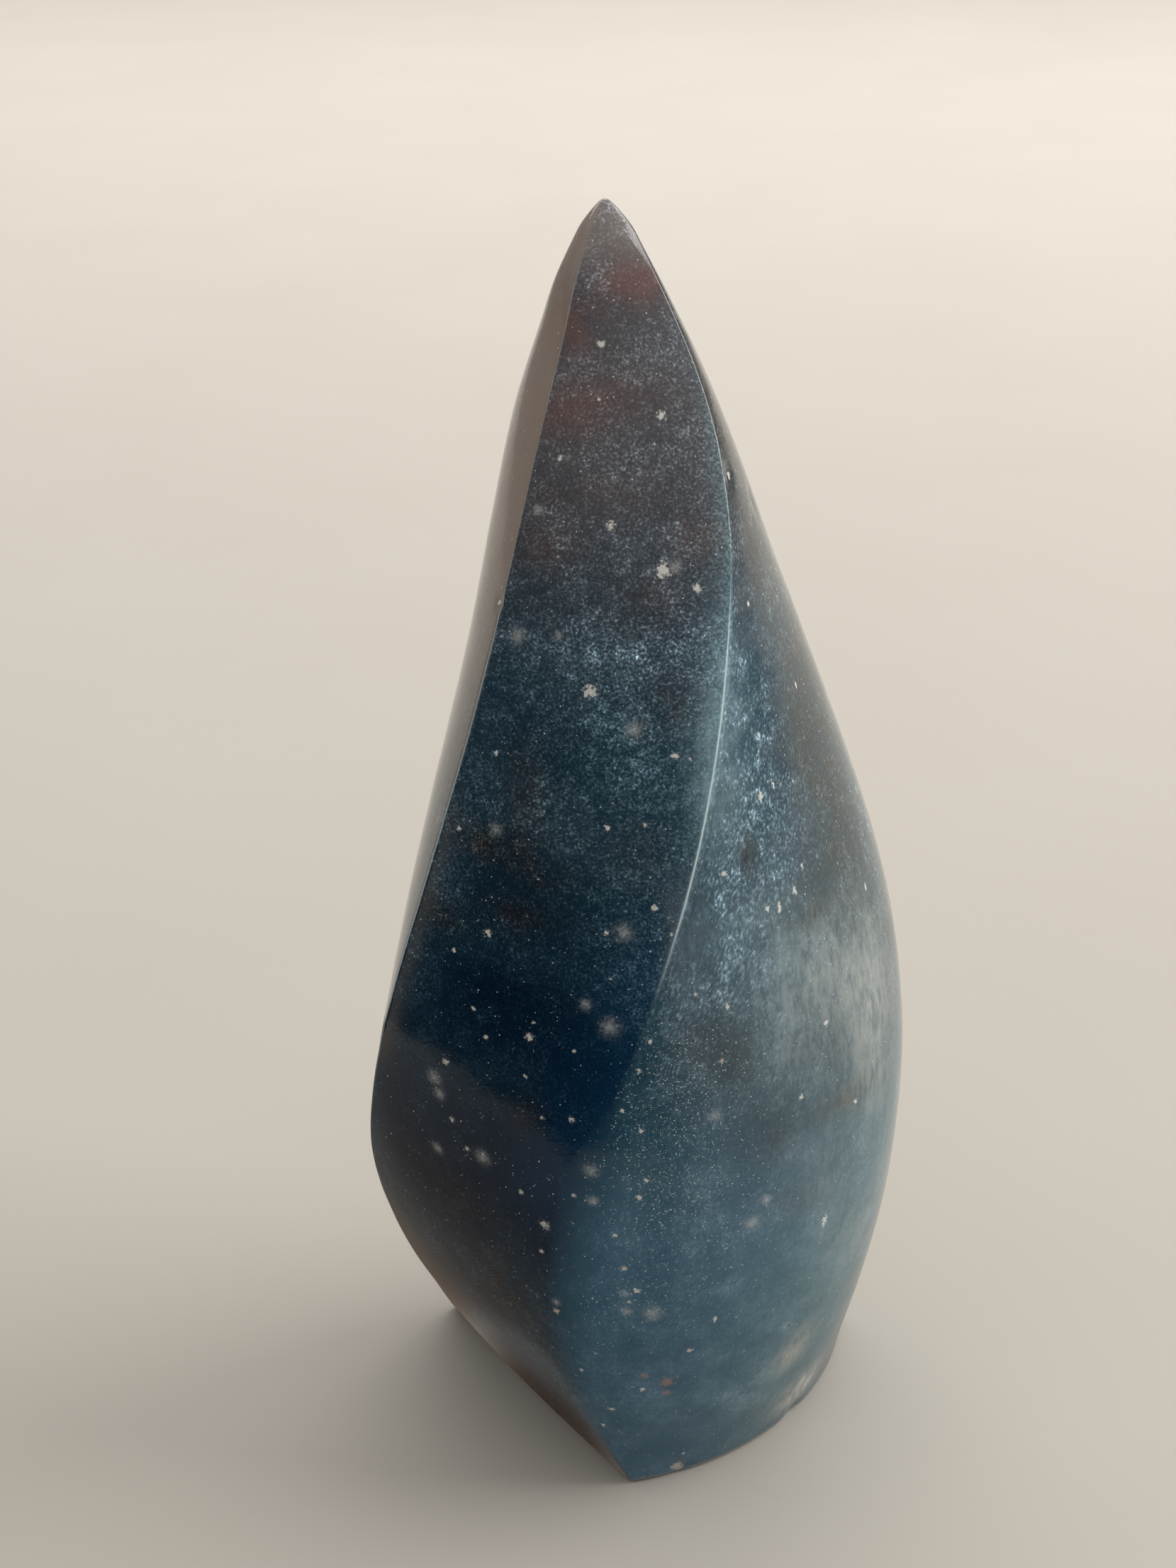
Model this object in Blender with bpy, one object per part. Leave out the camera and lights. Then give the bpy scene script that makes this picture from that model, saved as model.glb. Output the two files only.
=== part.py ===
"""A polished quartz flame: one stone carved as a twisted flame that stands on its flat cut base.

Three ridges climb the stone as smooth curves and wind anticlockwise into the rounded tip.
The skin between two ridges is crowned: at every height it is an arc from one to the other.
+Z is up, the base lies at z = 0, and the front of the stone looks along -Y.
"""

import math

import bmesh
import bpy
import numpy as np

MM = 0.001

# Driving dimensions, in millimetres
HEIGHT = 100.0
TIP_ROUNDING = 2.2
BASE_BEVEL = 0.4

# The heights at which the ridges and the faces are set out, from the base to the tip
LEVELS = (0, 12, 25, 40, 56, 72, 87, 100)

# Where each ridge passes at those heights: its distance to the right and to the back
LEFT_RIDGE = (
    (-16.0, -20.4, -21.4, -19.4, -15.1, -10.6, -6.9, -3.3),
    (9.5, 5.2, -2.6, -8.6, -11.0, -9.4, -4.8, 1.0),
)
FRONT_RIDGE = (
    (-0.4, -4.4, -5.0, -2.0, 2.8, 5.5, 4.3, -2.0),
    (-13.0, -16.4, -18.4, -18.7, -16.2, -11.0, -4.6, 1.8),
)
BACK_RIDGE = (
    (18.4, 17.2, 14.8, 10.8, 5.5, 0.5, -2.7, -3.2),
    (8.4, 12.2, 15.0, 16.8, 16.5, 13.5, 8.5, 2.6),
)

# How far each face is crowned beyond the straight line between its ridges
FRONT_CROWN = (0.4, 0.9, 1.4, 1.7, 1.7, 1.4, 0.9, 0.2)
RIGHT_CROWN = (4.6, 10.9, 15.0, 15.8, 12.4, 7.4, 3.3, 0.4)
LEFT_CROWN = (4.0, 7.4, 9.4, 10.0, 8.6, 6.0, 3.8, 0.5)

# How far from a ridge its rounding starts, where it is crisp and where the polish softened it
CRISP = 0.25
SOFT = 2.5

# The largest share of a face that one rounding may take
LARGEST_CUT = 0.15

# The heights between which each ridge is soft, in the order left, front, back
SOFT_SPANS = ((6, 22), (6, 38), (6, 28))
SOFT_FADE = 6.0

# How finely the skin is divided
FACE_POINTS = 12
RIDGE_POINTS = 3
RING_STEP = 2.0
TIP_RINGS = (0.80, 0.45, 0.18, 0.04)

# Edges that turn by more than this many degrees are drawn sharp
SHARP_ANGLE = 20

COLOUR = (0.030, 0.066, 0.092, 1.0)
ROUGHNESS = 0.22


def clear_scene():
    for obj in list(bpy.data.objects):
        bpy.data.objects.remove(obj)


def smooth_step(low, high, value):
    t = min(max((value - low) / (high - low), 0.0), 1.0)
    return t * t * (3 - 2 * t)


def spline_bends(values):
    """The bend of a natural cubic spline at each level, which is none at its two ends."""
    spans = np.diff(LEVELS)
    slopes = np.diff(values) / spans
    count = len(LEVELS)
    system = np.eye(count)
    target = np.zeros(count)
    for i in range(1, count - 1):
        system[i, i - 1:i + 2] = spans[i - 1], 2 * (spans[i - 1] + spans[i]), spans[i]
        target[i] = 6 * (slopes[i] - slopes[i - 1])
    return np.linalg.solve(system, target)


def along_height(values):
    """A function that reads the smooth curve through the values at the levels."""
    bends = spline_bends(values)

    def read(height):
        i = min(max(int(np.searchsorted(LEVELS, height, side="right")) - 1, 0), len(LEVELS) - 2)
        span = LEVELS[i + 1] - LEVELS[i]
        up = (height - LEVELS[i]) / span
        down = 1 - up
        bow = (down ** 3 - down) * bends[i] + (up ** 3 - up) * bends[i + 1]
        return down * values[i] + up * values[i + 1] + bow * span * span / 6

    return read


RIDGES = [[along_height(axis) for axis in ridge] for ridge in (LEFT_RIDGE, FRONT_RIDGE, BACK_RIDGE)]
CROWNS = [along_height(crown) for crown in (FRONT_CROWN, RIGHT_CROWN, LEFT_CROWN)]


def ridge_softness(ridge, height):
    low, high = SOFT_SPANS[ridge]
    rise = smooth_step(low - SOFT_FADE, low + SOFT_FADE, height)
    fall = 1 - smooth_step(high - SOFT_FADE, high + SOFT_FADE, height)
    return CRISP + (SOFT - CRISP) * rise * fall


def tip_factor(height):
    """Draws the section in along a quarter circle, so that the tip is rounded and not a needle."""
    rise = max(0.0, (height - (HEIGHT - TIP_ROUNDING)) / TIP_ROUNDING)
    return math.sqrt(max(0.0, 1 - rise * rise))


def corners_at(height):
    """Where the three ridges pass at a height, and the middle between them."""
    corners = [np.array([axis(height) for axis in ridge]) for ridge in RIDGES]
    middle = sum(corners) / 3
    return [middle + (corner - middle) * tip_factor(height) for corner in corners], middle


def arc_point(start, end, crown, share):
    """A point on the arc that rises by the crown over the line from start to end."""
    side = end - start
    width = np.linalg.norm(side)
    radius = (width * width / 4 + crown * crown) / (2 * crown)
    turn = (2 * share - 1) * 2 * math.atan(2 * crown / width)
    outward = np.array((side[1], -side[0])) / width
    rise = radius * math.cos(turn) - (radius - crown)
    return (start + end) / 2 + side / width * radius * math.sin(turn) + outward * rise


def ring_points(height, inset=0.0):
    """One closed section of the stone, anticlockwise from the left ridge."""
    corners, middle = corners_at(height)
    crowns = [crown(height) * tip_factor(height) for crown in CROWNS]
    sides = [np.linalg.norm(corners[(face + 1) % 3] - corners[face]) for face in range(3)]
    cuts = [min(LARGEST_CUT, ridge_softness(i, height) / min(sides)) for i in range(3)]
    ring = []
    for face in range(3):
        start, end = corners[face], corners[(face + 1) % 3]
        before = arc_point(corners[face - 1], start, crowns[face - 1], 1 - cuts[face])
        after = arc_point(start, end, crowns[face], cuts[face])
        for step in range(RIDGE_POINTS):
            t = (step + 0.5) / RIDGE_POINTS
            ring.append((1 - t) ** 2 * before + 2 * t * (1 - t) * start + t * t * after)
        for share in np.linspace(cuts[face], 1 - cuts[(face + 1) % 3], FACE_POINTS):
            ring.append(arc_point(start, end, crowns[face], share))
    return [point - (point - middle) * inset / np.linalg.norm(point - middle) for point in ring]


def ring_heights():
    """The base, its bevel, even steps up the body and closer steps round the tip."""
    body = np.arange(BASE_BEVEL, HEIGHT - TIP_ROUNDING, RING_STEP)
    tip = [HEIGHT - TIP_ROUNDING * share for share in TIP_RINGS]
    return [0.0, *body, *tip]


def add_ring(mesh, height):
    inset = BASE_BEVEL if height == 0 else 0.0
    return [mesh.verts.new((x, y, height)) for x, y in ring_points(height, inset)]


def join_rings(mesh, lower, upper):
    count = len(lower)
    for i in range(count):
        j = (i + 1) % count
        mesh.faces.new((lower[i], lower[j], upper[j], upper[i]))


def close_tip(mesh, top):
    middle = corners_at(HEIGHT)[1]
    apex = mesh.verts.new((*middle, HEIGHT))
    for i, corner in enumerate(top):
        mesh.faces.new((corner, top[(i + 1) % len(top)], apex))


def centre_on_origin(mesh):
    """Puts the middle of the stone's box on the Z axis, with the base left at z = 0."""
    spots = np.array([vert.co[:] for vert in mesh.verts])
    middle = (spots.min(axis=0) + spots.max(axis=0)) / 2
    for vert in mesh.verts:
        vert.co.x -= middle[0]
        vert.co.y -= middle[1]


def flame_mesh():
    mesh = bmesh.new()
    rings = [add_ring(mesh, height) for height in ring_heights()]
    for lower, upper in zip(rings, rings[1:]):
        join_rings(mesh, lower, upper)
    mesh.faces.new(list(reversed(rings[0])))
    close_tip(mesh, rings[-1])
    centre_on_origin(mesh)
    bmesh.ops.scale(mesh, vec=(MM, MM, MM), verts=mesh.verts)
    data = bpy.data.meshes.new("flame")
    mesh.to_mesh(data)
    mesh.free()
    return data


def quartz_material():
    material = bpy.data.materials.new("blue_quartz")
    material.use_nodes = True
    shader = material.node_tree.nodes["Principled BSDF"]
    shader.inputs["Base Color"].default_value = COLOUR
    shader.inputs["Roughness"].default_value = ROUGHNESS
    shader.inputs["Metallic"].default_value = 0.0
    return material


def main():
    clear_scene()
    parts = bpy.data.collections.new("paraiba_quartz_flame")
    bpy.context.scene.collection.children.link(parts)
    data = flame_mesh()
    data.shade_smooth()
    data.set_sharp_from_angle(angle=math.radians(SHARP_ANGLE))
    data.materials.append(quartz_material())
    parts.objects.link(bpy.data.objects.new("flame", data))


main()
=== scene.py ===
"""Looks of the polished quartz flame: the stone's fine skin, its grain and inclusions, the camera and soft light."""

import math

import bpy
import numpy as np
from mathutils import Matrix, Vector, noise
from mathutils.bvhtree import BVHTree


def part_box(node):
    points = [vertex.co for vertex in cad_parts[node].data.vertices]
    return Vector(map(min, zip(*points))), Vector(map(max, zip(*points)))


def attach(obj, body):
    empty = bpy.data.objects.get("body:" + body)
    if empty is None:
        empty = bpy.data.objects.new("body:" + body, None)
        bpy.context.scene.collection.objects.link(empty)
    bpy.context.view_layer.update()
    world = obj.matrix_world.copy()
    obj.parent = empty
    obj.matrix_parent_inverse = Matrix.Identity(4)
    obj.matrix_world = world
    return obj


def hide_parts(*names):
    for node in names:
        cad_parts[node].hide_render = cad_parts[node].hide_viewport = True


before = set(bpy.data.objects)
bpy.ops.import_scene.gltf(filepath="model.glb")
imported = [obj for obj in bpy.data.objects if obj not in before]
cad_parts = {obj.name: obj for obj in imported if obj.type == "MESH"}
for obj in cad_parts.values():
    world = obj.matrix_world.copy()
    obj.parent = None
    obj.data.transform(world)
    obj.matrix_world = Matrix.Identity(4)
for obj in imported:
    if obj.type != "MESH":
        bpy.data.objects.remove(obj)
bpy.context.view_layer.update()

MM = 0.001

# The stone's own dimensions in millimetres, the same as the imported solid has
HEIGHT = 100.0
TIP_ROUNDING = 2.2
BASE_BEVEL = 0.4
LEVELS = (0, 12, 25, 40, 56, 72, 87, 100)
LEFT_RIDGE = (
    (-16.0, -20.4, -21.4, -19.4, -15.1, -10.6, -6.9, -3.3),
    (9.5, 5.2, -2.6, -8.6, -11.0, -9.4, -4.8, 1.0),
)
FRONT_RIDGE = (
    (-0.4, -4.4, -5.0, -2.0, 2.8, 5.5, 4.3, -2.0),
    (-13.0, -16.4, -18.4, -18.7, -16.2, -11.0, -4.6, 1.8),
)
BACK_RIDGE = (
    (18.4, 17.2, 14.8, 10.8, 5.5, 0.5, -2.7, -3.2),
    (8.4, 12.2, 15.0, 16.8, 16.5, 13.5, 8.5, 2.6),
)
FRONT_CROWN = (0.4, 0.9, 1.4, 1.7, 1.7, 1.4, 0.9, 0.2)
RIGHT_CROWN = (4.6, 10.9, 15.0, 15.8, 12.4, 7.4, 3.3, 0.4)
LEFT_CROWN = (4.0, 7.4, 9.4, 10.0, 8.6, 6.0, 3.8, 0.5)
CRISP = 0.25
CRISPEST = 0.09
SOFT = 2.5
LARGEST_CUT = 0.15
SOFT_SPANS = ((6, 22), (6, 38), (6, 28))
SOFT_FADE = 6.0

# How finely the visible skin is divided
FACE_POINTS = 88
RIDGE_POINTS = 9
RING_STEP = 0.42
TIP_RINGS = (0.97, 0.90, 0.80, 0.68, 0.55, 0.42, 0.30, 0.19, 0.10, 0.04)
RING = 3 * (FACE_POINTS + RIDGE_POINTS)
FRONT, RIGHT, LEFT = range(3)

# The photograph's view: pixels of its 1659 x 2212 frame, and the camera in millimetres
IMAGE = (1659, 2212)
SENSOR = 36.0
FOCAL_PIXELS = 3350.0
CAMERA = (-3.81, -159.02, 135.7)
PITCH = math.radians(26.3)

# Inclusions, each placed by the pixel where it shows: across, down and width in pixels
WHITE_FLECKS = (
    (848, 485, 13), (934, 586, 15), (791, 646, 10), (862, 741, 14), (936, 804, 26), (984, 830, 15),
    (832, 976, 23), (953, 1066, 12), (974, 1071, 6), (857, 1168, 11), (856, 1317, 9), (689, 1316, 13),
    (641, 1341, 8), (668, 1423, 8), (753, 1443, 6), (747, 1463, 13), (686, 1463, 9), (811, 1483, 6),
    (741, 1519, 7), (629, 1498, 13), (638, 1580, 11), (660, 1621, 10), (765, 1577, 8), (806, 1579, 10),
    (878, 1567, 8), (906, 1596, 9), (810, 1687, 7), (735, 1682, 9), (769, 1728, 17), (764, 1765, 8),
    (912, 1666, 8), (901, 1690, 9), (867, 1743, 9), (898, 1822, 11), (917, 1470, 7), (902, 1511, 8),
    (1022, 1232, 10), (1131, 1548, 9), (1207, 1554, 9), (1166, 1442, 10), (705, 850, 9), (924, 1281, 11),
    (840, 1909, 6), (821, 1933, 8), (906, 1960, 9), (851, 2010, 8), (861, 1381, 5), (759, 1240, 5),
    (947, 1318, 6), (700, 1063, 8), (846, 563, 6), (982, 1403, 6), (965, 2050, 7), (648, 1169, 8),
)
UPRIGHT_FLECKS = (
    (1028, 671, 7), (1056, 852, 6), (1123, 966, 6), (1091, 1106, 7), (1073, 1124, 9), (1121, 1256, 8),
    (1083, 1282, 7), (1100, 1280, 8), (1132, 1222, 5), (1221, 1250, 6), (1071, 1037, 6), (1027, 1420, 6),
    (1163, 1722, 10), (1009, 1861, 7),
)
CREAM_FLECKS = (
    (880, 1790, 10), (973, 1905, 11), (863, 1988, 11), (910, 1164, 6), (785, 1849, 10), (955, 2067, 21),
    (888, 1837, 7), (1019, 1497, 8),
)
RUSTY_FLECKS = ((909, 1941, 15), (940, 1950, 24), (941, 1965, 13))
DARK_FLECKS = ((793, 380, 5), (1150, 1290, 8), (1052, 1210, 9), (1118, 1990, 8), (1112, 1870, 6), (1000, 1150, 7))
PALE_PUFFS = (
    (731, 896, 24), (788, 896, 14), (895, 1030, 26), (880, 1315, 28), (861, 1449, 30), (826, 1417, 18),
    (613, 1520, 26), (620, 1543, 22), (617, 1619, 20), (681, 1632, 26), (834, 1652, 24), (837, 1694, 18),
    (785, 1837, 14), (884, 1850, 18), (920, 1853, 30), (883, 1825, 14), (1061, 1725, 26), (1008, 1574, 20),
    (1082, 1692, 18), (1110, 1871, 16), (952, 800, 22), (700, 1170, 20), (760, 720, 18),
)

# Pits and chips pressed in, and below zero the shoulder that stands out beside the tip: pixel across
# and down, radius across and up in millimetres, depth in millimetres
DENTS = (
    (1028, 671, 0.5, 0.7, 0.14), (705, 850, 0.5, 0.5, 0.16), (1061, 704, 0.6, 1.0, 0.12),
    (955, 2069, 0.7, 0.8, 0.25), (1118, 1988, 0.9, 1.2, 0.35), (796, 400, 2.2, 3.2, -0.42),
)


def smooth_step(low, high, value):
    t = min(max((value - low) / (high - low), 0.0), 1.0)
    return t * t * (3 - 2 * t)


def spline_bends(values):
    """The bend of a natural cubic spline at each level, which is none at its two ends."""
    spans = np.diff(LEVELS)
    slopes = np.diff(values) / spans
    count = len(LEVELS)
    system = np.eye(count)
    target = np.zeros(count)
    for i in range(1, count - 1):
        system[i, i - 1:i + 2] = spans[i - 1], 2 * (spans[i - 1] + spans[i]), spans[i]
        target[i] = 6 * (slopes[i] - slopes[i - 1])
    return np.linalg.solve(system, target)


def along_height(values):
    """A function that reads the smooth curve through the values at the levels."""
    bends = spline_bends(values)

    def read(height):
        i = min(max(int(np.searchsorted(LEVELS, height, side="right")) - 1, 0), len(LEVELS) - 2)
        span = LEVELS[i + 1] - LEVELS[i]
        up = (height - LEVELS[i]) / span
        down = 1 - up
        bow = (down ** 3 - down) * bends[i] + (up ** 3 - up) * bends[i + 1]
        return down * values[i] + up * values[i + 1] + bow * span * span / 6

    return read


RIDGES = [[along_height(axis) for axis in ridge] for ridge in (LEFT_RIDGE, FRONT_RIDGE, BACK_RIDGE)]
CROWNS = [along_height(crown) for crown in (FRONT_CROWN, RIGHT_CROWN, LEFT_CROWN)]


def ridge_softness(ridge, height):
    low, high = SOFT_SPANS[ridge]
    rise = smooth_step(low - SOFT_FADE, low + SOFT_FADE, height)
    fall = 1 - smooth_step(high - SOFT_FADE, high + SOFT_FADE, height)
    crisp = CRISP + (CRISPEST - CRISP) * smooth_step(70, 80, height)
    return crisp + (SOFT - CRISP) * rise * fall


def tip_factor(height):
    rise = max(0.0, (height - (HEIGHT - TIP_ROUNDING)) / TIP_ROUNDING)
    return math.sqrt(max(0.0, 1 - rise * rise))


def corners_at(height):
    corners = [np.array([axis(height) for axis in ridge]) for ridge in RIDGES]
    middle = sum(corners) / 3
    return [middle + (corner - middle) * tip_factor(height) for corner in corners], middle


def arc_points(start, end, crown, shares):
    """Points on the arc that rises by the crown over the line from start to end."""
    side = end - start
    width = np.linalg.norm(side)
    radius = (width * width / 4 + crown * crown) / (2 * crown)
    turns = (2 * np.asarray(shares) - 1) * 2 * math.atan(2 * crown / width)
    along = side / width
    outward = np.array((along[1], -along[0]))
    rise = radius * np.cos(turns) - (radius - crown)
    return (start + end) / 2 + np.outer(radius * np.sin(turns), along) + np.outer(rise, outward)


def ring_points(height, inset=0.0):
    """One closed section of the stone, anticlockwise from the left ridge."""
    corners, middle = corners_at(height)
    crowns = [crown(height) * tip_factor(height) for crown in CROWNS]
    sides = [np.linalg.norm(corners[(face + 1) % 3] - corners[face]) for face in range(3)]
    cuts = [min(LARGEST_CUT, ridge_softness(i, height) / min(sides)) for i in range(3)]
    t = ((np.arange(RIDGE_POINTS) + 0.5) / RIDGE_POINTS)[:, None]
    ring = []
    for face in range(3):
        start, end = corners[face], corners[(face + 1) % 3]
        before = arc_points(corners[face - 1], start, crowns[face - 1], [1 - cuts[face]])
        after = arc_points(start, end, crowns[face], [cuts[face]])
        ring.append((1 - t) ** 2 * before + 2 * t * (1 - t) * start + t * t * after)
        shares = np.linspace(cuts[face], 1 - cuts[(face + 1) % 3], FACE_POINTS)
        ring.append(arc_points(start, end, crowns[face], shares))
    ring = np.concatenate(ring)
    outward = (ring - middle) / np.linalg.norm(ring - middle, axis=1)[:, None]
    return ring - outward * inset


def ring_heights():
    body = np.arange(BASE_BEVEL, HEIGHT - TIP_ROUNDING, RING_STEP)
    tip = [HEIGHT - TIP_ROUNDING * share for share in TIP_RINGS]
    return [0.0, BASE_BEVEL * 0.3, BASE_BEVEL * 0.65, *body, *tip]


def skin():
    """All sections as one array, ring by ring, in millimetres, with the box middle on the Z axis."""
    heights = np.array(ring_heights())
    rings = []
    for height in heights:
        inset = max(0.0, BASE_BEVEL - height)
        flat = ring_points(height, inset)
        rings.append(np.column_stack([flat, np.full(len(flat), height)]))
    rings = np.array(rings)
    low, high = rings[..., :2].min(axis=(0, 1)), rings[..., :2].max(axis=(0, 1))
    rings[..., :2] -= (low + high) / 2
    return heights, rings, (low + high) / 2


def skin_faces(rings):
    count = len(rings)
    lower = np.arange(count - 1)[:, None] * RING + np.arange(RING)[None]
    right = np.roll(lower, -1, axis=1)
    return np.stack([lower, right, right + RING, lower + RING], axis=-1).reshape(-1, 4)


def skin_normals(rings):
    """Outward directions of the skin, from the sections and the rise between them."""
    across = np.roll(rings, -1, axis=1) - np.roll(rings, 1, axis=1)
    upward = np.gradient(rings, axis=0)
    out = np.cross(across, upward)
    return out / np.maximum(np.linalg.norm(out, axis=2, keepdims=True), 1e-9)


def hand_polish(rings, normals):
    """The slight waves that hand polishing leaves, which show only in the mirrored light."""
    spots = rings.reshape(-1, 3)
    waves = [0.045 * noise.noise(Vector(p) / 8.0) + 0.018 * noise.noise(Vector(p) / 2.8) for p in spots]
    depth = np.array(waves).reshape(rings.shape[:2])
    calm = np.clip(rings[..., 2] / 4.0, 0, 1) * np.clip((HEIGHT - rings[..., 2]) / 3.0, 0, 1)
    return rings + normals * (depth * calm)[..., None]


def camera_ray(across, down):
    forward = Vector((0, math.cos(PITCH), -math.sin(PITCH)))
    up = Vector((0, math.sin(PITCH), math.cos(PITCH)))
    right = (across - IMAGE[0] / 2) / FOCAL_PIXELS
    drop = (down - IMAGE[1] / 2) / FOCAL_PIXELS
    return (forward + Vector((right, 0, 0)) - up * drop).normalized()


def on_skin(tree, across, down):
    """Where the photograph's ray through a pixel meets the stone, and how long one pixel is there."""
    spot, _, _, distance = tree.ray_cast(Vector(CAMERA), camera_ray(across, down))
    return spot, (distance or 0.0) / FOCAL_PIXELS


def skin_tree(rings):
    faces = [tuple(face) for face in skin_faces(rings).tolist()]
    return BVHTree.FromPolygons([Vector(p) for p in rings.reshape(-1, 3)], faces)


def chip(rings, normals):
    """Presses the small pits and base chips into the skin, and lifts the shoulder beside the tip."""
    tree = skin_tree(rings)
    spots = rings.reshape(-1, 3)
    depth = bells(spots, tree, DENTS).reshape(rings.shape[:2])
    push = normals * depth[..., None]
    push[..., 2] *= np.clip((rings[..., 2] - 2.0) / 4.0, 0, 1)
    return rings - push


def build():
    heights, rings, middle = skin()
    rings = hand_polish(rings, skin_normals(rings))
    rings = chip(rings, skin_normals(rings))
    return heights, rings, middle, skin_tree(rings)


def flecks(tree):
    """Each inclusion's place and form: centre, radius, softness, warmth and how tall it is for its width."""
    kinds = (
        (WHITE_FLECKS, 0.2, 0.25, 1.0), (UPRIGHT_FLECKS, 0.2, 0.25, 2.2), (CREAM_FLECKS, 0.3, 0.6, 1.0),
        (RUSTY_FLECKS, 0.6, 1.0, 1.0), (PALE_PUFFS, 1.0, 0.0, 1.0), (DARK_FLECKS, 0.6, -1.0, 3.5),
    )
    found = []
    for group, softness, warmth, tall in kinds:
        for across, down, width in group:
            spot, pixel = on_skin(tree, across, down)
            if spot is not None:
                sunk = max(softness, 0.2 + 0.25 * (1 - smooth_step(38, 52, spot.z)) * (across < 850))
                found.append((*spot, max(0.11, width * pixel / 2.2), sunk, warmth, tall))
    return np.array(found)


def hidden_flecks(rings):
    """Inclusions of the same kinds on the sides that the photograph doesn't show."""
    draw = np.random.default_rng(11)
    found = []
    normals = skin_normals(rings)
    while len(found) < 120:
        i, j = draw.integers(12, len(rings) - 20), draw.integers(RING)
        away = np.array(CAMERA) - rings[i, j]
        if normals[i, j] @ away > -5:
            continue
        softness, warmth = ((0.25, 0.25), (1.0, 0.0), (0.3, 0.6))[draw.choice(3, p=(0.66, 0.26, 0.08))]
        radius = draw.uniform(0.15, 0.5) * (1.7 if softness == 1.0 else 1.0)
        found.append((*rings[i, j], radius, softness, warmth, draw.uniform(0.8, 1.6)))
    return np.array(found)


def fleck_attributes(spots, faces, marks):
    """Gives each face the offset to its nearest inclusion, so that its outline stays finer than the mesh."""
    middles = spots[faces].mean(axis=1)
    best = np.full(len(faces), 1e9)
    chosen = np.zeros(len(faces), int)
    for index, mark in enumerate(marks):
        reach = np.linalg.norm(middles - mark[:3], axis=1) / mark[3]
        nearer = reach < best
        best[nearer] = reach[nearer]
        chosen[nearer] = index
    offsets = spots[faces] - marks[chosen][:, None, :3]
    offsets[..., 2] /= marks[chosen][:, None, 6]
    forms = np.repeat(marks[chosen][:, None, 3:6], 4, axis=1)
    return offsets.reshape(-1, 3), forms.reshape(-1, 3)


def bells(points, tree, bumps):
    """Sum of soft bumps, each given by pixel, radius across and up in millimetres, and strength."""
    total = np.zeros(len(points))
    for across, down, wide, tall, strength in bumps:
        spot, _ = on_skin(tree, across, down)
        if spot is None:
            continue
        away = points - np.array(spot)
        size = (away[:, 0] ** 2 + away[:, 1] ** 2) / wide ** 2 + away[:, 2] ** 2 / tall ** 2
        total += strength * np.exp(-size)
    return total


# Soft clouds, each at the pixel where it shows: pixel across and down, radius across and up in
# millimetres, strength
PALE_CLOUDS = (
    (1225, 1390, 4.5, 6.0, 1.0), (1140, 1370, 4.0, 4.5, 0.75), (1025, 960, 1.6, 6.0, 0.6), (1060, 1300, 3.0, 2.5, 0.35),
    (1010, 1090, 1.8, 6.0, 0.9), (1238, 1500, 3.0, 5.0, 0.6), (1200, 1740, 4.0, 6.0, 0.3),
    (1120, 1905, 1.8, 2.4, 1.5), (1130, 1955, 3.0, 2.7, 2.3), (1160, 1640, 3.0, 5.0, 0.35),
    (1120, 1480, 3.0, 3.0, 0.4), (1100, 1400, 3.0, 3.0, 0.35), (980, 1340, 1.5, 3.0, 0.35),
)
BRIGHT_CLOUDS = (
    (845, 400, 2.0, 1.6, 0.8), (920, 490, 3.0, 3.0, 0.6), (815, 530, 2.4, 1.6, 0.6), (862, 322, 2.0, 1.6, 1.3),
    (890, 640, 3.0, 2.0, 0.6), (850, 760, 4.0, 2.5, 0.6), (960, 760, 2.0, 4.0, 0.3), (900, 950, 4.0, 4.0, 0.6),
    (900, 1080, 4.0, 4.0, 0.8), (640, 1210, 2.5, 4.0, 0.4), (780, 900, 4.0, 2.0, 0.5), (1040, 1880, 5.0, 7.0, 0.3),
    (1010, 1350, 2.5, 4.0, 0.7), (1010, 1020, 1.8, 4.0, 0.65), (1018, 920, 1.5, 3.0, 0.6),
    (900, 900, 3.0, 2.5, 0.4), (960, 640, 2.5, 3.0, 0.3), (970, 900, 2.0, 4.0, 0.3), (1070, 1140, 2.0, 4.0, 0.35), (1040, 805, 1.4, 3.0, 0.7), (1170, 1900, 3.0, 4.0, 0.4), (900, 1960, 2.5, 3.0, 0.45),
    (1040, 1300, 1.6, 3.0, 0.4), (1065, 1955, 4.0, 3.0, 0.9), (1100, 1400, 3.0, 3.0, 0.3), (1040, 1170, 3.0, 4.0, 0.3),
)
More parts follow.
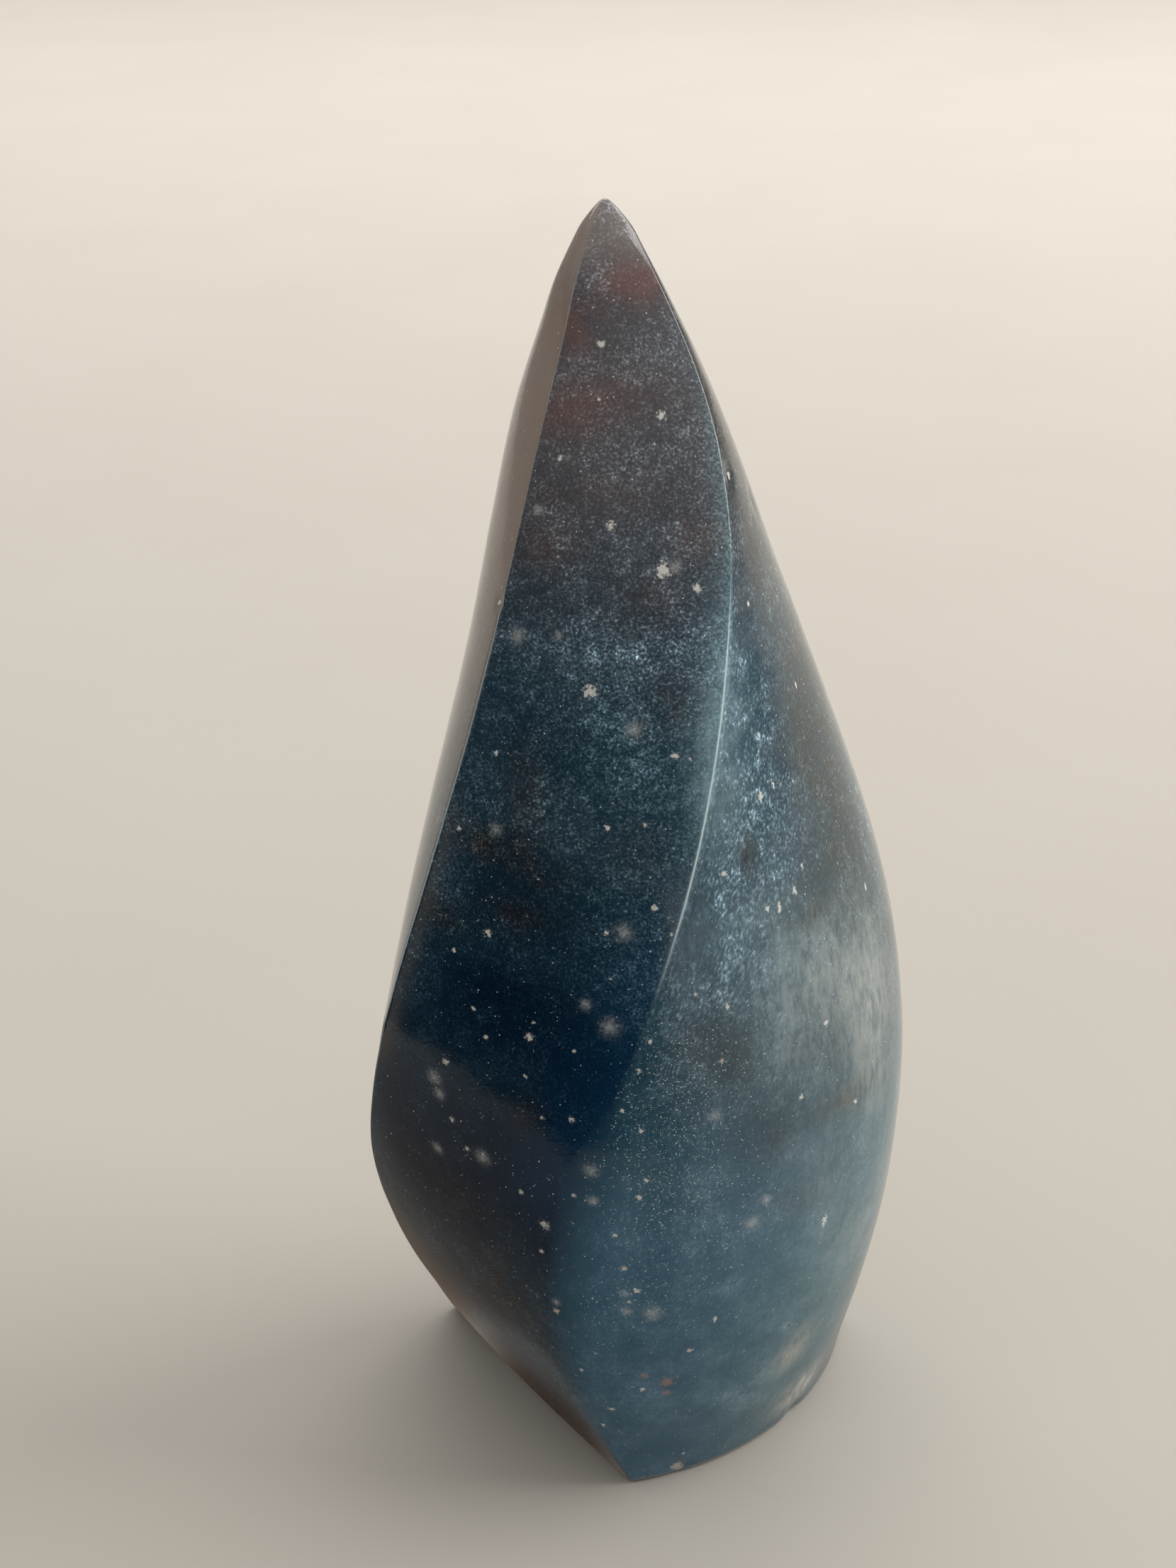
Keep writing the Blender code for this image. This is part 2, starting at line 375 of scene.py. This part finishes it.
BROWN_CLOUDS = (
    (898, 395, 2.4, 1.9, 1.2), (805, 462, 2.0, 1.8, 0.9), (860, 560, 4.0, 1.6, 0.5), (790, 590, 3.0, 1.6, 0.5),
    (830, 700, 5.0, 1.6, 0.3), (760, 770, 3.0, 1.4, 0.5), (920, 850, 2.5, 2.0, 0.4), (740, 1110, 1.6, 4.0, 0.5),
    (690, 1190, 3.4, 1.4, 0.9), (760, 1235, 2.5, 1.2, 0.7), (620, 1290, 2.4, 1.6, 0.6), (730, 1290, 3.0, 1.4, 0.7),
    (905, 1200, 2.0, 2.0, 0.3), (1000, 1465, 2.2, 2.0, 0.4), (950, 990, 2.0, 2.0, 0.6), (1040, 1490, 1.6, 2.6, 0.5),
    (1090, 1600, 2.5, 3.0, 0.5), (1200, 1545, 4.0, 1.2, 0.8), (1130, 1690, 3.0, 2.0, 0.35), (1056, 1204, 0.7, 2.0, 0.9), (1150, 1290, 2.6, 1.2, 0.7),
    (640, 1700, 5.0, 6.0, 0.5), (1195, 1190, 3.6, 4.0, 0.8), (1070, 770, 3.0, 4.0, 0.8),
    (1132, 930, 4.4, 5.0, 0.9), (1165, 1060, 4.4, 5.0, 0.8), (860, 320, 2.6, 1.6, 0.45), (1225, 1300, 3.0, 3.0, 0.4), (1120, 1050, 3.0, 5.0, 0.3),
    (720, 1830, 3.0, 4.0, 0.6), (740, 1570, 1.6, 1.6, 0.5),
    (550, 1480, 2.0, 6.0, 0.3), (985, 760, 2.0, 2.0, 0.4), (1150, 1245, 2.5, 2.0, 0.4),
)
NAVY_CLOUDS = (
    (700, 1400, 7.0, 5.0, 0.75), (830, 1500, 4.5, 5.0, 0.8), (800, 1300, 4.0, 3.0, 0.3), (840, 1620, 2.2, 5.0, 0.6),
    (700, 1620, 7.0, 6.0, 0.8), (770, 1740, 4.0, 7.0, 0.7), (620, 1500, 5.0, 5.0, 0.5), (690, 1850, 3.0, 5.0, 0.4),
    (1058, 860, 1.8, 5.0, 0.9), (1055, 780, 1.4, 3.0, 0.3), (1000, 1600, 3.0, 3.0, 0.25), (1130, 1050, 3.0, 4.0, 0.25), (1000, 1180, 1.6, 2.5, 0.25), (985, 1310, 1.5, 3.0, 0.9), (1150, 1240, 2.5, 2.5, 0.5),
    (740, 1040, 4.0, 3.0, 0.35), (700, 1250, 4.0, 2.5, 0.5), (650, 1690, 5.0, 6.0, 0.6), (950, 2040, 4.0, 1.8, 0.6),
    (700, 1420, 5.0, 4.0, 0.3), (760, 1600, 3.0, 3.0, 0.4), (560, 1580, 3.5, 9.0, 1.0),
)
SPARK_CLOUDS = (
    (930, 1560, 4.0, 6.0, 1.0), (960, 1700, 4.5, 6.0, 0.9), (900, 1840, 3.5, 4.0, 0.6), (980, 1480, 3.0, 3.0, 0.5),
)


def ring_attributes(heights):
    """Looks that follow the ridges and faces, for each point of each ring.

    line: a painted highlight, the bright hair line where a crisp ridge catches light;
    rim: painted light, the paler edge of the front face beside it, where light enters the thin edge;
    glow: painted light, the deeper and brighter blue where light comes through the soft front ridge;
    taupe: a painted reflection, the warm taupe band along the left ridge, mostly on the left face;
    right: 1 on the right face; across: how far round the right face.
    """
    names = ("line", "rim", "glow", "taupe", "right", "across")
    looks = {name: np.zeros((len(heights), RING)) for name in names}
    step = FACE_POINTS + RIDGE_POINTS
    front = slice(RIDGE_POINTS, step)
    right = slice(step + RIDGE_POINTS, 2 * step)
    left = slice(2 * step + RIDGE_POINTS, 3 * step)
    reach = np.arange(FACE_POINTS) / FACE_POINTS
    turn = (np.arange(RIDGE_POINTS) + 0.5) / RIDGE_POINTS
    hair = np.clip(1 - np.abs(turn - 0.5) * RIDGE_POINTS / 1.2, 0, 1)
    looks["right"][:, right] = 1
    looks["right"][:, step:step + RIDGE_POINTS] = np.clip(turn / 0.6, 0, 1)
    looks["right"][:, 2 * step:2 * step + RIDGE_POINTS] = 1 - turn
    looks["across"][:, right] = reach
    looks["across"][:, 2 * step:] = 1
    for i, height in enumerate(heights):
        # Painted highlights: the bright hair lines where the crisp left and front ridges catch light
        left_line = smooth_step(34, 46, height) * (1 - smooth_step(93, 98, height))
        front_line = smooth_step(47, 57, height) * (1 - smooth_step(71, 79, height))
        looks["line"][i, :RIDGE_POINTS] = 0.5 * left_line * hair
        looks["line"][i, step:step + RIDGE_POINTS] = front_line * hair
        # Painted light: the paler rim of the front face beside the front ridge, where light enters the thin edge
        rim = smooth_step(48, 68, height) * (1 - smooth_step(80, 95, height)) * (0.72 + 0.28 * smooth_step(68, 77, height))
        looks["rim"][i, front] = rim * np.exp((reach - 1) / 0.055)
        looks["rim"][i, step:step + RIDGE_POINTS] = 0.7 * rim
        # Painted light: deeper, brighter blue where light comes through the soft front ridge
        glow = smooth_step(26, 34, height) * (1 - smooth_step(48, 60, height))
        looks["glow"][i, front] = glow * np.exp(-((1 - reach) / 0.22) ** 2)
        looks["glow"][i, step:step + RIDGE_POINTS] = glow * (1 - turn)
        # Painted reflection: a warm taupe band along the left ridge, mostly on the left face
        edge = smooth_step(34, 42, height) * (1 - smooth_step(56, 64, height))
        looks["taupe"][i, front] = 0.22 * edge * np.exp(-(reach / 0.06) ** 2)
        reflection_share = 0.12 + 0.88 * smooth_step(50, 84, height)
        looks["taupe"][i, left] = reflection_share * np.exp(-((1 - reach) / 0.42) ** 2)
        looks["taupe"][i, :RIDGE_POINTS] = reflection_share * (1 - turn) * smooth_step(40, 60, height)
    return {name: values.ravel() for name, values in looks.items()}


def turned_away(rings):
    """1 on the sides that the photograph doesn't show, and 0 on those that it does."""
    sight = np.array(CAMERA) - rings
    sight /= np.linalg.norm(sight, axis=2, keepdims=True)
    facing = (skin_normals(rings) * sight).sum(axis=2)
    return np.clip(0.4 - facing * 3, 0, 1).ravel()


def set_points(mesh, name, values):
    attribute = mesh.attributes.new(name, "FLOAT", "POINT")
    attribute.data.foreach_set("value", np.asarray(values, np.float32))


def fit_in_box(spots):
    """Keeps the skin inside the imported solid's box."""
    low, high = (np.array(corner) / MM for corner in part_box("flame"))
    own_low, own_high = spots.min(axis=0), spots.max(axis=0)
    scale = np.minimum(1.0, (high - low) / (own_high - own_low))
    return (spots - (own_low + own_high) / 2) * scale + (low + high) / 2


def flame_object():
    heights, rings, middle, tree = build()
    faces = skin_faces(rings)
    marks = np.concatenate([flecks(tree), hidden_flecks(rings)])
    top = len(rings) * RING
    apex = np.append(corners_at(HEIGHT)[1] - middle, HEIGHT)
    spots = np.vstack([rings.reshape(-1, 3), apex])
    last = (len(rings) - 1) * RING
    cap = [(last + i, last + (i + 1) % RING, top) for i in range(RING)]
    base = tuple(range(RING))[::-1]
    mesh = bpy.data.meshes.new("flame_stone")
    fitted = fit_in_box(spots) * MM
    mesh.from_pydata([tuple(p) for p in fitted], [], [tuple(f) for f in faces.tolist()] + cap + [base])
    offsets, forms = fleck_attributes(spots, faces, marks)
    corners = len(mesh.loops)
    away = np.full((corners, 3), 50.0)
    form = np.ones((corners, 3))
    away[:len(offsets)] = offsets
    form[:len(forms)] = forms
    for name, values in (("fleck", away), ("fleck_form", form)):
        attribute = mesh.attributes.new(name, "FLOAT_VECTOR", "CORNER")
        attribute.data.foreach_set("vector", values.astype(np.float32).ravel())
    body = spots[:top]
    for name, values in (
        *ring_attributes(heights).items(), ("unseen", turned_away(rings)),
        ("pale", bells(body, tree, PALE_CLOUDS)), ("bright", bells(body, tree, BRIGHT_CLOUDS)),
        ("brown", bells(body, tree, BROWN_CLOUDS)), ("navy", bells(body, tree, NAVY_CLOUDS)),
        ("sparks", bells(body, tree, SPARK_CLOUDS)),
    ):
        set_points(mesh, name, np.append(values, 0.0))
    mesh.shade_smooth()
    mesh.set_sharp_from_angle(angle=math.radians(40))
    mesh.validate()
    stone = bpy.data.objects.new("flame_stone", mesh)
    bpy.context.scene.collection.objects.link(stone)
    return stone


class Graph:
    """Short calls for the nodes of one material."""

    def __init__(self, material):
        material.use_nodes = True
        self.tree = material.node_tree
        self.shader = self.tree.nodes["Principled BSDF"]

    def add(self, kind, inputs=(), **settings):
        node = self.tree.nodes.new(kind)
        for name, value in settings.items():
            setattr(node, name, value)
        for slot, value in dict(inputs).items():
            self.put(node.inputs[slot], value)
        return node

    def put(self, socket, value):
        if isinstance(value, bpy.types.NodeSocket):
            self.tree.links.new(value, socket)
        else:
            socket.default_value = value

    def math(self, operation, *values, clamp=False):
        node = self.add("ShaderNodeMath", dict(enumerate(values)), operation=operation, use_clamp=clamp)
        return node.outputs[0]

    def span(self, value, low, high, to_low=0.0, to_high=1.0):
        node = self.add("ShaderNodeMapRange", {0: value, 1: low, 2: high, 3: to_low, 4: to_high}, interpolation_type="SMOOTHSTEP")
        return node.outputs[0]

    def mix(self, share, first, second):
        node = self.add("ShaderNodeMix", {0: share, 6: first, 7: second}, data_type="RGBA")
        return node.outputs[2]

    def noise(self, vector, scale, detail=2.0, roughness=0.5, distortion=0.0):
        node = self.add("ShaderNodeTexNoise", {"Vector": vector, "Scale": scale, "Detail": detail,
                                               "Roughness": roughness, "Distortion": distortion})
        return node.outputs[0]

    def attribute(self, name):
        return self.add("ShaderNodeAttribute", attribute_name=name)

    def vector(self, operation, *values):
        node = self.add("ShaderNodeVectorMath", dict(enumerate(values)), operation=operation)
        return node

    def tint(self, colour, strength):
        node = self.add("ShaderNodeVectorMath", {0: colour, "Scale": strength}, operation="SCALE")
        return node.outputs[0]


def quartz():
    material = bpy.data.materials.new("paraiba_quartz")
    g = Graph(material)
    place = g.add("ShaderNodeTexCoord").outputs["Object"]
    p = g.tint(place, 1 / MM)
    height = g.add("ShaderNodeSeparateXYZ", {0: p}).outputs[2]
    streaky = g.vector("MULTIPLY", p, (1.0, 1.0, 0.45)).outputs[0]
    line, rim, glow, taupe, right, across, unseen, pale, bright, brown, navy, sparks = (
        g.attribute(name).outputs["Fac"]
        for name in ("line", "rim", "glow", "taupe", "right", "across", "unseen", "pale", "bright", "brown",
                     "navy", "sparks")
    )

    # Grain: fine pale crystals in a dark ground, in clumps and soft clouds
    wide = g.noise(p, 0.075, 2.0, 0.5)
    mottle = g.noise(p, 0.33, 4.0, 0.62)
    clump = g.noise(p, 1.25, 3.0, 0.6)
    combed = g.add("ShaderNodeMapping", {"Vector": p, "Rotation": (0, 0.35, 0), "Scale": (1, 1, 2.4)},
                   vector_type="TEXTURE").outputs[0]
    grain = g.math("MULTIPLY", g.noise(p, 5.2, 2.0, 0.62), g.math("SUBTRACT", 1.0, right))
    grain = g.math("ADD", grain, g.math("MULTIPLY", g.noise(combed, 5.6, 2.0, 0.62), right))
    streak = g.noise(streaky, 1.1, 4.0, 0.66)
    fibre = g.noise(g.vector("MULTIPLY", p, (1.0, 1.0, 0.22)).outputs[0], 1.9, 3.0, 0.6)
    calm = g.span(height, 14.0, 42.0, 0.55, 1.0)
    total = g.math("MULTIPLY", g.math("SUBTRACT", grain, 0.5), 8.9)
    total = g.math("ADD", total, g.math("MULTIPLY", g.math("SUBTRACT", clump, 0.5), 3.6))
    smooth = g.math("MULTIPLY", right, g.span(height, 58.0, 34.0, 0.0, 0.62))
    total = g.math("MULTIPLY", g.math("MULTIPLY", total, calm), g.math("SUBTRACT", 1.0, smooth))
    lines = g.math("MULTIPLY", g.math("SUBTRACT", streak, 0.5), g.span(height, 34.0, 58.0, 0.6, 4.0))
    total = g.math("ADD", total, g.math("MULTIPLY", lines, right))
    browner = g.math("MULTIPLY", brown, g.math("MAXIMUM", right, g.span(height, 66.0, 84.0)))
    drifts = g.math("MULTIPLY", g.math("SUBTRACT", wide, 0.5), g.math("MULTIPLY", unseen, g.span(right, 0.0, 1.0, 6.0, 3.0)))
    for term in (
        drifts, g.math("MULTIPLY", g.math("SUBTRACT", mottle, 0.5), 3.4), g.math("MULTIPLY", bright, 0.9),
        g.math("MULTIPLY", navy, -1.7), g.math("MULTIPLY", right, g.span(height, 87.0, 76.0, -0.6, 0.70)),
        g.math("MULTIPLY", browner, -1.2),
    ):
        total = g.math("ADD", total, term)
    crystals = g.math("MULTIPLY", g.math("EXPONENT", total), 0.074)

    # Ground colour: navy to slate, brown clouds, and mauve towards the tip
    drift = g.math("MULTIPLY", g.span(wide, 0.46, 0.66, 0.0, 0.8), unseen)
    soft = g.math("MULTIPLY", brown, g.span(mottle, 0.3, 0.62, 0.45, 1.25))
    browning = g.math("ADD", drift, soft, clamp=True)
    tip = g.span(height, 66.0, 88.0)
    deep = g.mix(g.math("MINIMUM", navy, 1.0), (0.005, 0.030, 0.052, 1), (0.0010, 0.0095, 0.028, 1))
    # Painted light: deeper, brighter blue beside the soft front ridge, where light comes through
    deep = g.mix(g.math("MULTIPLY", glow, 0.55), deep, (0.001, 0.031, 0.085, 1))
    low = g.span(height, 44.0, 28.0)
    flank_near = g.mix(low, (0.014, 0.054, 0.086, 1), (0.027, 0.100, 0.172, 1))
    flank_far = g.mix(low, (0.028, 0.062, 0.078, 1), (0.026, 0.112, 0.152, 1))
    flank = g.mix(g.span(across, 0.02, 0.40), flank_near, flank_far)
    deep = g.mix(right, deep, flank)
    earth = g.mix(right, (0.011, 0.010, 0.013, 1), (0.027, 0.040, 0.045, 1))
    ground = g.mix(browning, deep, earth)
    rosy = g.mix(browning, (0.042, 0.043, 0.052, 1), (0.116, 0.057, 0.050, 1))
    rosy = g.mix(right, rosy, (0.052, 0.050, 0.048, 1))
    ground = g.mix(tip, ground, rosy)
    ground = g.mix(g.span(height, 95.0, 98.0, 0.0, 0.8), ground, (0.17, 0.145, 0.138, 1))
    crystal = g.mix(g.math("MINIMUM", navy, 1.0), (0.26, 0.40, 0.50, 1), (0.12, 0.34, 0.54, 1))
    greying = g.math("MAXIMUM", browning, g.math("MULTIPLY", right, g.span(across, 0.05, 0.5, 0.3, 0.75)))
    crystal = g.mix(greying, crystal, (0.30, 0.35, 0.37, 1))
    crystal = g.mix(tip, crystal, (0.37, 0.42, 0.47, 1))
    colour = g.vector("ADD", ground, g.tint(crystal, crystals)).outputs[0]

    # Veils: smooth whitish haze under the polish, combed by the grain
    patchy = g.math("ADD", g.math("MULTIPLY", fibre, 0.6), g.math("MULTIPLY", mottle, 0.4))
    veil = g.math("MULTIPLY", pale, g.span(patchy, 0.36, 0.62, 0.35, 1.0), clamp=True)
    haze = g.mix(g.span(across, 0.08, 0.34), (0.20, 0.30, 0.345, 1), (0.31, 0.35, 0.345, 1))
    colour = g.mix(veil, colour, haze)
    milky = g.math("SUBTRACT", g.math("MULTIPLY", pale, g.span(patchy, 0.40, 0.60, 0.45, 1.3)), 1.3, clamp=True)
    colour = g.mix(g.math("MULTIPLY", milky, 0.8), colour, (0.62, 0.64, 0.61, 1))
    # Painted reflection: the warm taupe band along the left ridge
    colour = g.mix(g.math("MULTIPLY", taupe, 0.85), colour, (0.30, 0.24, 0.20, 1))

    # Pinpoints: fine bright grains, a few everywhere and a swarm of them low on the right face
    swarm = g.math("MULTIPLY", g.math("ADD", g.math("MULTIPLY", g.math("MULTIPLY", sparks, right), 0.8), 0.05), g.math("SUBTRACT", 1.0, taupe))
    for scale, size, power, where in ((1.9, 0.14, 3.0, 0.5), (7.2, 0.46, 1.6, swarm)):
        cells = g.add("ShaderNodeTexVoronoi", {"Vector": p, "Scale": scale}, feature="F1")
        chance = g.add("ShaderNodeSeparateXYZ", {0: cells.outputs["Color"]})
        reach = g.math("MULTIPLY", g.math("POWER", chance.outputs[0], power), size)
        dot = g.math("GREATER_THAN", reach, cells.outputs["Distance"])
        dot = g.math("MULTIPLY", dot, g.math("GREATER_THAN", where, chance.outputs[1]))
        dot = g.math("MULTIPLY", dot, g.span(chance.outputs[2], 0.0, 1.0, 0.25, 1.0))
        colour = g.mix(dot, colour, (0.56, 0.66, 0.70, 1))

    # Inclusions: ragged white, cream and rusty flecks, and soft pale puffs
    offset = g.attribute("fleck").outputs["Vector"]
    form = g.add("ShaderNodeSeparateXYZ", {0: g.attribute("fleck_form").outputs["Vector"]})
    far = g.math("DIVIDE", g.vector("LENGTH", offset).outputs["Value"], form.outputs[0])
    ragged = g.math("SUBTRACT", g.noise(p, 4.6, 4.0, 0.72), 0.5)
    crisp = g.math("SUBTRACT", 1.0, g.span(g.math("ADD", far, g.math("MULTIPLY", ragged, 4.4)), 0.45, 1.05))
    hazy = g.math("ADD", g.math("MULTIPLY", far, 0.75), g.math("MULTIPLY", ragged, 2.2))
    blur = g.math("POWER", g.math("SUBTRACT", 1.0, g.span(hazy, -0.3, 1.6)), 2.0)
    inside = g.math("ADD", g.math("MULTIPLY", crisp, g.math("SUBTRACT", 1.0, form.outputs[1])),
                    g.math("MULTIPLY", g.math("MULTIPLY", blur, form.outputs[1]), 0.40))
    warm = g.mix(g.span(form.outputs[2], -1.0, 0.0), (0.022, 0.020, 0.020, 1), (0.86, 0.88, 0.86, 1))
    warm = g.mix(g.span(form.outputs[2], 0.1, 0.6), warm, (0.80, 0.71, 0.60, 1))
    warm = g.mix(g.span(form.outputs[2], 0.65, 1.0), warm, (0.46, 0.27, 0.18, 1))
    colour = g.mix(g.math("MULTIPLY", inside, 0.92), colour, warm)

    # Painted highlights on the lit ridge lines, and painted light in the paler rim where light enters the thin edge
    rim = g.math("MULTIPLY", rim, g.span(grain, 0.3, 0.7, 0.45, 1.3))
    colour = g.vector("ADD", colour, g.tint((0.14, 0.225, 0.25), rim)).outputs[0]
    colour = g.mix(g.math("MULTIPLY", line, 0.95), colour, (0.78, 0.95, 1.0, 1))
    # Painted highlight: the small bevel round the base is painted lighter where it catches light
    base_glint = g.span(height, 0.9, 0.1, 0.0, 0.45)
    colour = g.mix(base_glint, colour, (0.30, 0.31, 0.31, 1))
    g.put(g.shader.inputs["Base Color"], colour)

    rough = g.span(mottle, 0.3, 0.7, 0.055, 0.10)
    rough = g.math("ADD", rough, g.math("MULTIPLY", inside, 0.18))
    rough = g.math("ADD", rough, g.math("MULTIPLY", line, 0.2))
    g.put(g.shader.inputs["Roughness"], rough)
    relief = g.math("ADD", g.math("MULTIPLY", grain, 0.4), g.math("MULTIPLY", g.noise(p, 0.9, 3.0), 1.0))
    bump = g.add("ShaderNodeBump", {"Strength": 0.25, "Distance": 0.00006, "Height": relief})
    g.put(g.shader.inputs["Normal"], bump.outputs[0])
    g.shader.inputs["IOR"].default_value = 1.55
    return material


def floor():
    bpy.ops.mesh.primitive_plane_add(size=6.0)
    plane = bpy.context.object
    plane.name = "floor"
    material = bpy.data.materials.new("pale_floor")
    g = Graph(material)
    p = g.tint(g.add("ShaderNodeTexCoord").outputs["Object"], 1 / MM)
    colour = g.mix(g.noise(p, 0.02, 3.0), (0.485, 0.455, 0.41, 1), (0.515, 0.488, 0.445, 1))
    g.put(g.shader.inputs["Base Color"], colour)
    g.shader.inputs["Roughness"].default_value = 0.9
    g.shader.inputs["Specular IOR Level"].default_value = 0.0
    plane.data.materials.append(material)
    return plane


# What the stone mirrors of its own shade, by the distance from its middle in millimetres
SHADE = (
    (7, (0.03, 0.02, 0.015)), (10.3, (0.075, 0.05, 0.037)), (12.5, (0.14, 0.115, 0.095)), (15.5, (0.20, 0.175, 0.155)),
    (19, (0.15, 0.115, 0.088)), (22, (0.135, 0.10, 0.075)), (40, (0.145, 0.115, 0.09)),
    (60, (0.185, 0.17, 0.145)), (84, (0.26, 0.24, 0.20)), (88.5, (0.010, 0.010, 0.012)),
)


def unseen_card(name, colour=(0.01, 0.01, 0.012)):
    """A plane that only the stone's mirrored light sees, as a studio flag or reflector."""
    bpy.ops.mesh.primitive_plane_add(size=1.0)
    plane = bpy.context.object
    plane.name = name
    material = bpy.data.materials.new(name)
    g = Graph(material)
    g.shader.inputs["Base Color"].default_value = (0, 0, 0, 1)
    g.shader.inputs["Roughness"].default_value = 1.0
    g.shader.inputs["Specular IOR Level"].default_value = 0.0
    g.shader.inputs["Emission Color"].default_value = (*colour, 1)
    g.shader.inputs["Emission Strength"].default_value = 1.0
    plane.data.materials.append(material)
    plane.visible_camera = False
    plane.visible_diffuse = False
    plane.visible_shadow = False
    return plane, g


def shade_card(name, low, high, rise, fade):
    """A card laid over the floor with the stone's soft shade close in and black beyond it.

    Between the two distances to the right it fades out.
    """
    plane, g = unseen_card(name)
    plane.location = [(a + b) / 2 * MM for a, b in zip(low, high)] + [rise * MM]
    plane.scale = ((high[0] - low[0]) * MM, (high[1] - low[1]) * MM, 1)
    place = g.vector("MULTIPLY", g.add("ShaderNodeNewGeometry").outputs["Position"], (1, 1.15, 0)).outputs[0]
    reach = g.vector("LENGTH", g.tint(place, 1 / MM)).outputs["Value"]
    ramp = g.add("ShaderNodeValToRGB", {0: g.math("DIVIDE", reach, 100.0)})
    stops = ramp.color_ramp.elements
    while len(stops) < len(SHADE):
        stops.new(1.0)
    for stop, (distance, colour) in zip(stops, SHADE):
        stop.position = distance / 100.0
        stop.color = (*colour, 1)
    g.put(g.shader.inputs["Emission Color"], ramp.outputs[0])
    side = g.add("ShaderNodeSeparateXYZ", {0: g.tint(place, 1 / MM)}).outputs[0]
    g.put(g.shader.inputs["Alpha"], g.span(side, *fade, 1.0, 0.0))


def side_reflector():
    """A pale reflector that stands behind the stone on the left and lights the edge of its left face."""
    plane, _ = unseen_card("side_reflector", (0.42, 0.37, 0.32))
    plane.location = [v * MM for v in (-690, 580, 215)]
    plane.rotation_euler = (math.pi / 2, 0, math.radians(50))
    plane.scale = (1.5, 0.43, 1)


def area_light(name, place, target, size, power, colour):
    data = bpy.data.lights.new(name, "AREA")
    data.shape = "RECTANGLE"
    data.size, data.size_y = size[0] * MM, size[1] * MM
    data.energy = power
    data.color = colour
    lamp = bpy.data.objects.new(name, data)
    lamp.location = Vector(place) * MM
    lamp.rotation_mode = "QUATERNION"
    lamp.rotation_quaternion = (Vector(place) - Vector(target)).to_track_quat("Z", "Y")
    bpy.context.scene.collection.objects.link(lamp)


def around(azimuth, elevation, distance):
    """A place at a distance from the stone's middle, turning from the front to its right."""
    a, e = math.radians(azimuth), math.radians(elevation)
    return (distance * math.sin(a) * math.cos(e), -distance * math.cos(a) * math.cos(e), 45 + distance * math.sin(e))


def sky():
    """Soft studio surroundings: bright above, dim towards the horizon."""
    world = bpy.data.worlds.new("studio")
    bpy.context.scene.world = world
    world.use_nodes = True
    tree = world.node_tree
    ground = tree.nodes["Background"]
    where = tree.nodes.new("ShaderNodeTexCoord")
    split = tree.nodes.new("ShaderNodeSeparateXYZ")
    ramp = tree.nodes.new("ShaderNodeMapRange")
    ramp.interpolation_type = "SMOOTHSTEP"
    ramp.inputs[1].default_value = 0.05
    ramp.inputs[2].default_value = 0.95
    ramp.inputs[3].default_value = 0.05
    ramp.inputs[4].default_value = 0.90
    tree.links.new(where.outputs["Generated"], split.inputs[0])
    tree.links.new(split.outputs[2], ramp.inputs[0])
    tree.links.new(ramp.outputs[0], ground.inputs["Strength"])
    ground.inputs["Color"].default_value = (1.0, 0.97, 0.93, 1)


def camera():
    data = bpy.data.cameras.new("camera")
    data.sensor_width = SENSOR
    data.lens = FOCAL_PIXELS * SENSOR / max(IMAGE)
    data.clip_start = 0.005
    data.clip_end = 20.0
    view = bpy.data.objects.new("camera", data)
    view.location = [v * MM for v in CAMERA]
    view.rotation_euler = (math.pi / 2 - PITCH, 0, 0)
    bpy.context.scene.collection.objects.link(view)
    bpy.context.scene.camera = view


stone = flame_object()
stone.data.materials.append(quartz())
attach(stone, "root")
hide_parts("flame")

floor()
shade_card("front_shade", (-2000, -1476), (60, -76), 0.4, (-10.0, 60.0))
shade_card("side_shade", (-1080, -76), (40, 60), 0.6, (-6.0, 40.0))
side_reflector()
sky()
area_light("key", around(97, 30, 1100), (0, 0, 45), (800, 800), 10.0, (1.0, 0.98, 0.95))
area_light("back", (0, 650, 500), (0, 600, 0), (1200, 500), 4.0, (1.0, 0.98, 0.95))
camera()
bpy.context.scene.view_settings.view_transform = "Standard"
